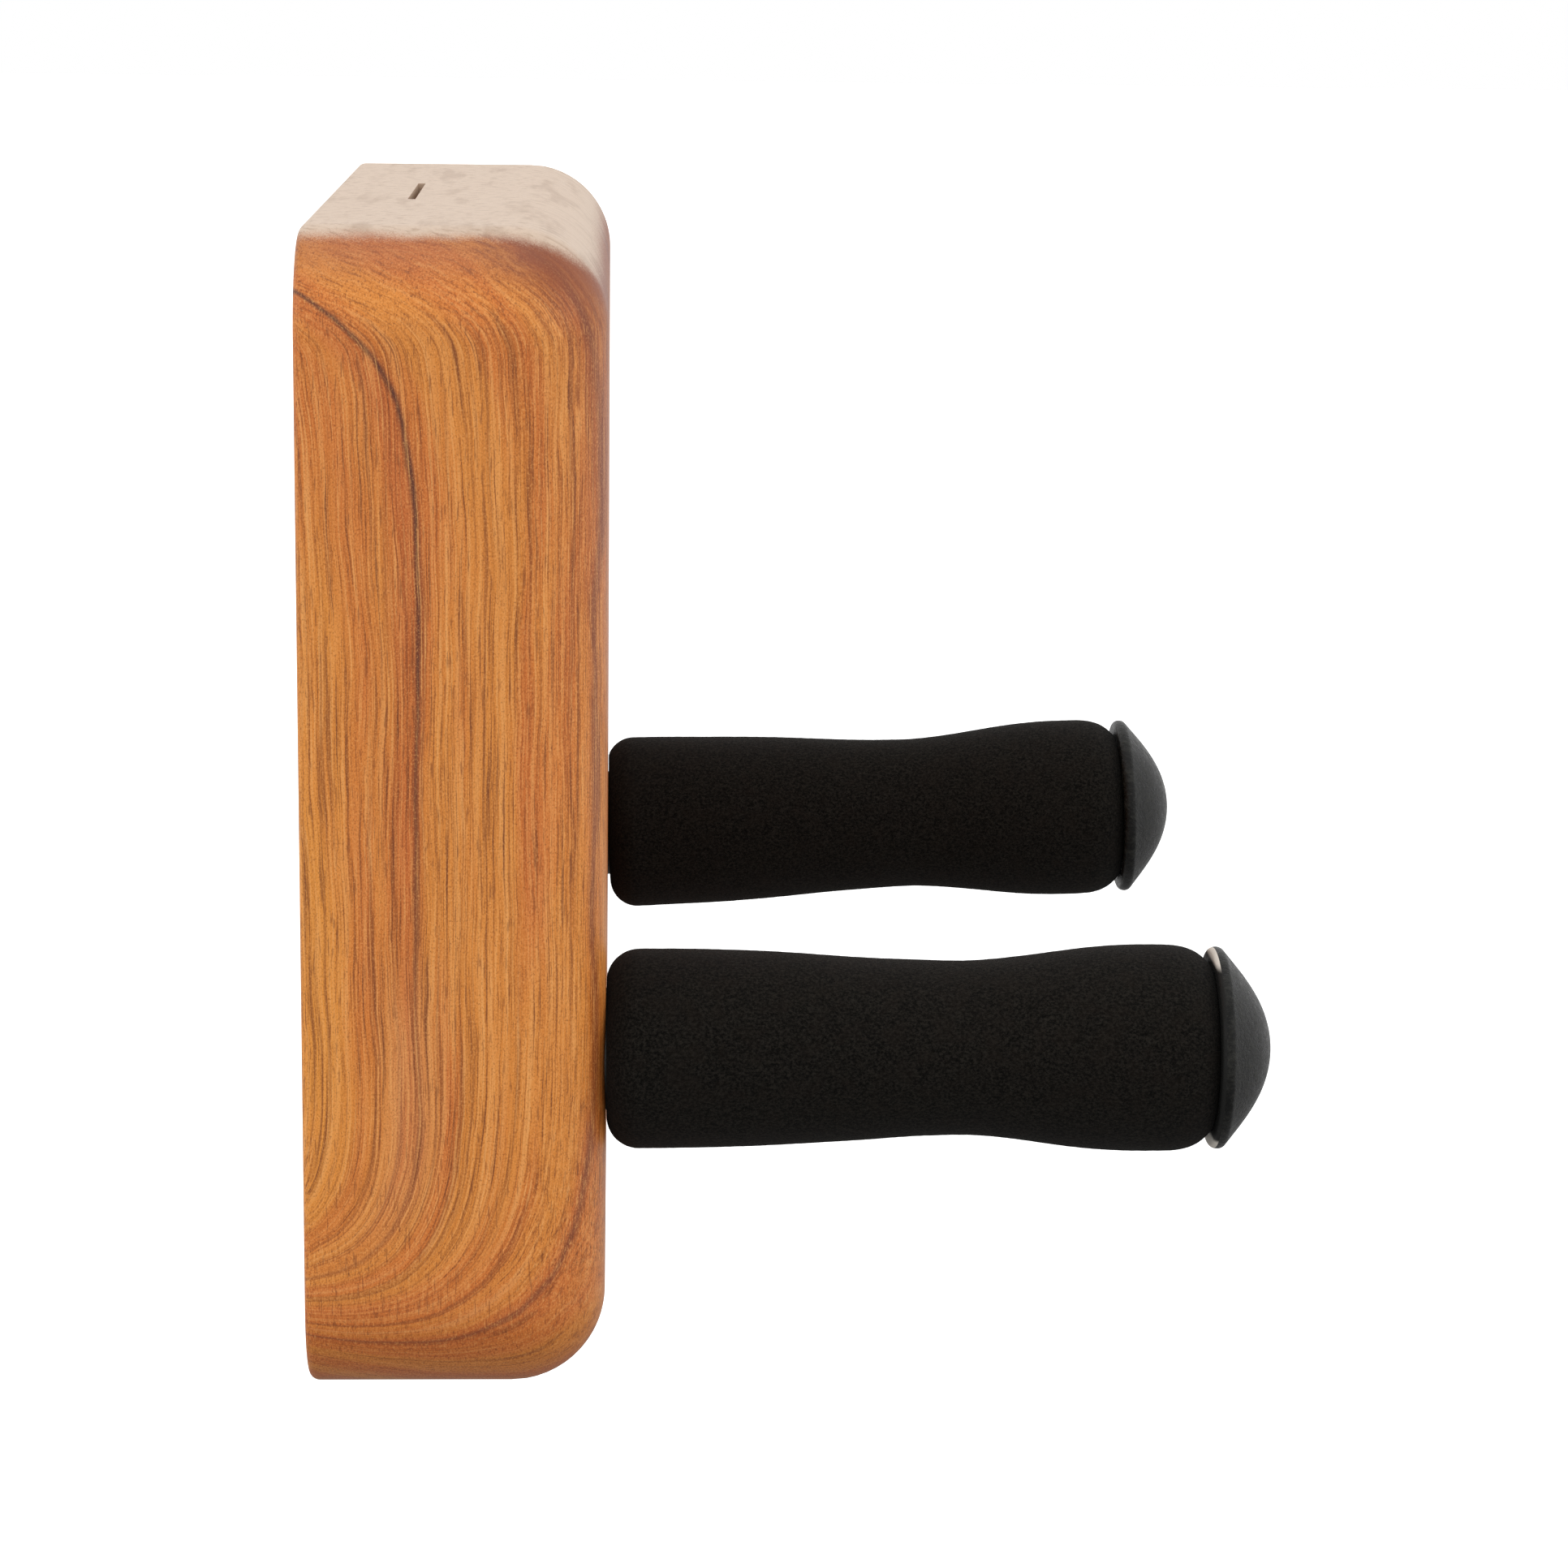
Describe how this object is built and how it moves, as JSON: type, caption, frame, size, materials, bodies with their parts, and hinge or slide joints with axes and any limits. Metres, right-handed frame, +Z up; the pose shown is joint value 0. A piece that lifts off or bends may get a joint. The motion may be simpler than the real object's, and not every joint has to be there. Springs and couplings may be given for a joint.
{
  "type": "bicycle wall rack",
  "caption": "Wall-hung bicycle rack: a thick rounded hardwood block with padded horizontal arms that end in mushroom caps and carry the top tube.",
  "frame": {"origin": "on the wall plane, midway between the wall rail's two screw holes", "axes": "+X out of the wall along the arms, +Y to the right of a person who faces the wall, +Z up"},
  "size_m": [0.1966, 0.222, 0.235],
  "materials": {
    "timber": "oiled, fine vertical grain",
    "grip_foam": "matt closed-cell foam",
    "cap_plastic": "satin, fine moulded grain",
    "tube_steel": "bright drawn tube",
    "bolt_steel": "black oxide",
    "zinc_steel": "bright zinc plate",
    "rail_aluminium": "mill-finish extrusion"
  },
  "bodies": {
    "wall_side": {"wall_rail": "rail_aluminium"},
    "rack": {"wood_block": "timber", "hanger_rail": "rail_aluminium", "hanger_screws": "zinc_steel", "left_arm_tube": "tube_steel", "left_arm_insert": "tube_steel", "left_foam_grip": "grip_foam", "left_end_cap": "cap_plastic", "left_washer": "zinc_steel", "left_arm_bolt": "bolt_steel", "left_lock_washer": "zinc_steel", "right_arm_tube": "tube_steel", "right_arm_insert": "tube_steel", "right_foam_grip": "grip_foam", "right_end_cap": "cap_plastic", "right_washer": "zinc_steel", "right_arm_bolt": "bolt_steel", "right_lock_washer": "zinc_steel"}
  },
  "joints": [
    {"name": "lift_off", "type": "slide", "parent": "wall_side", "child": "rack", "axis": [0, 0, 1], "range_m": [0, 0.012]}
  ]
}
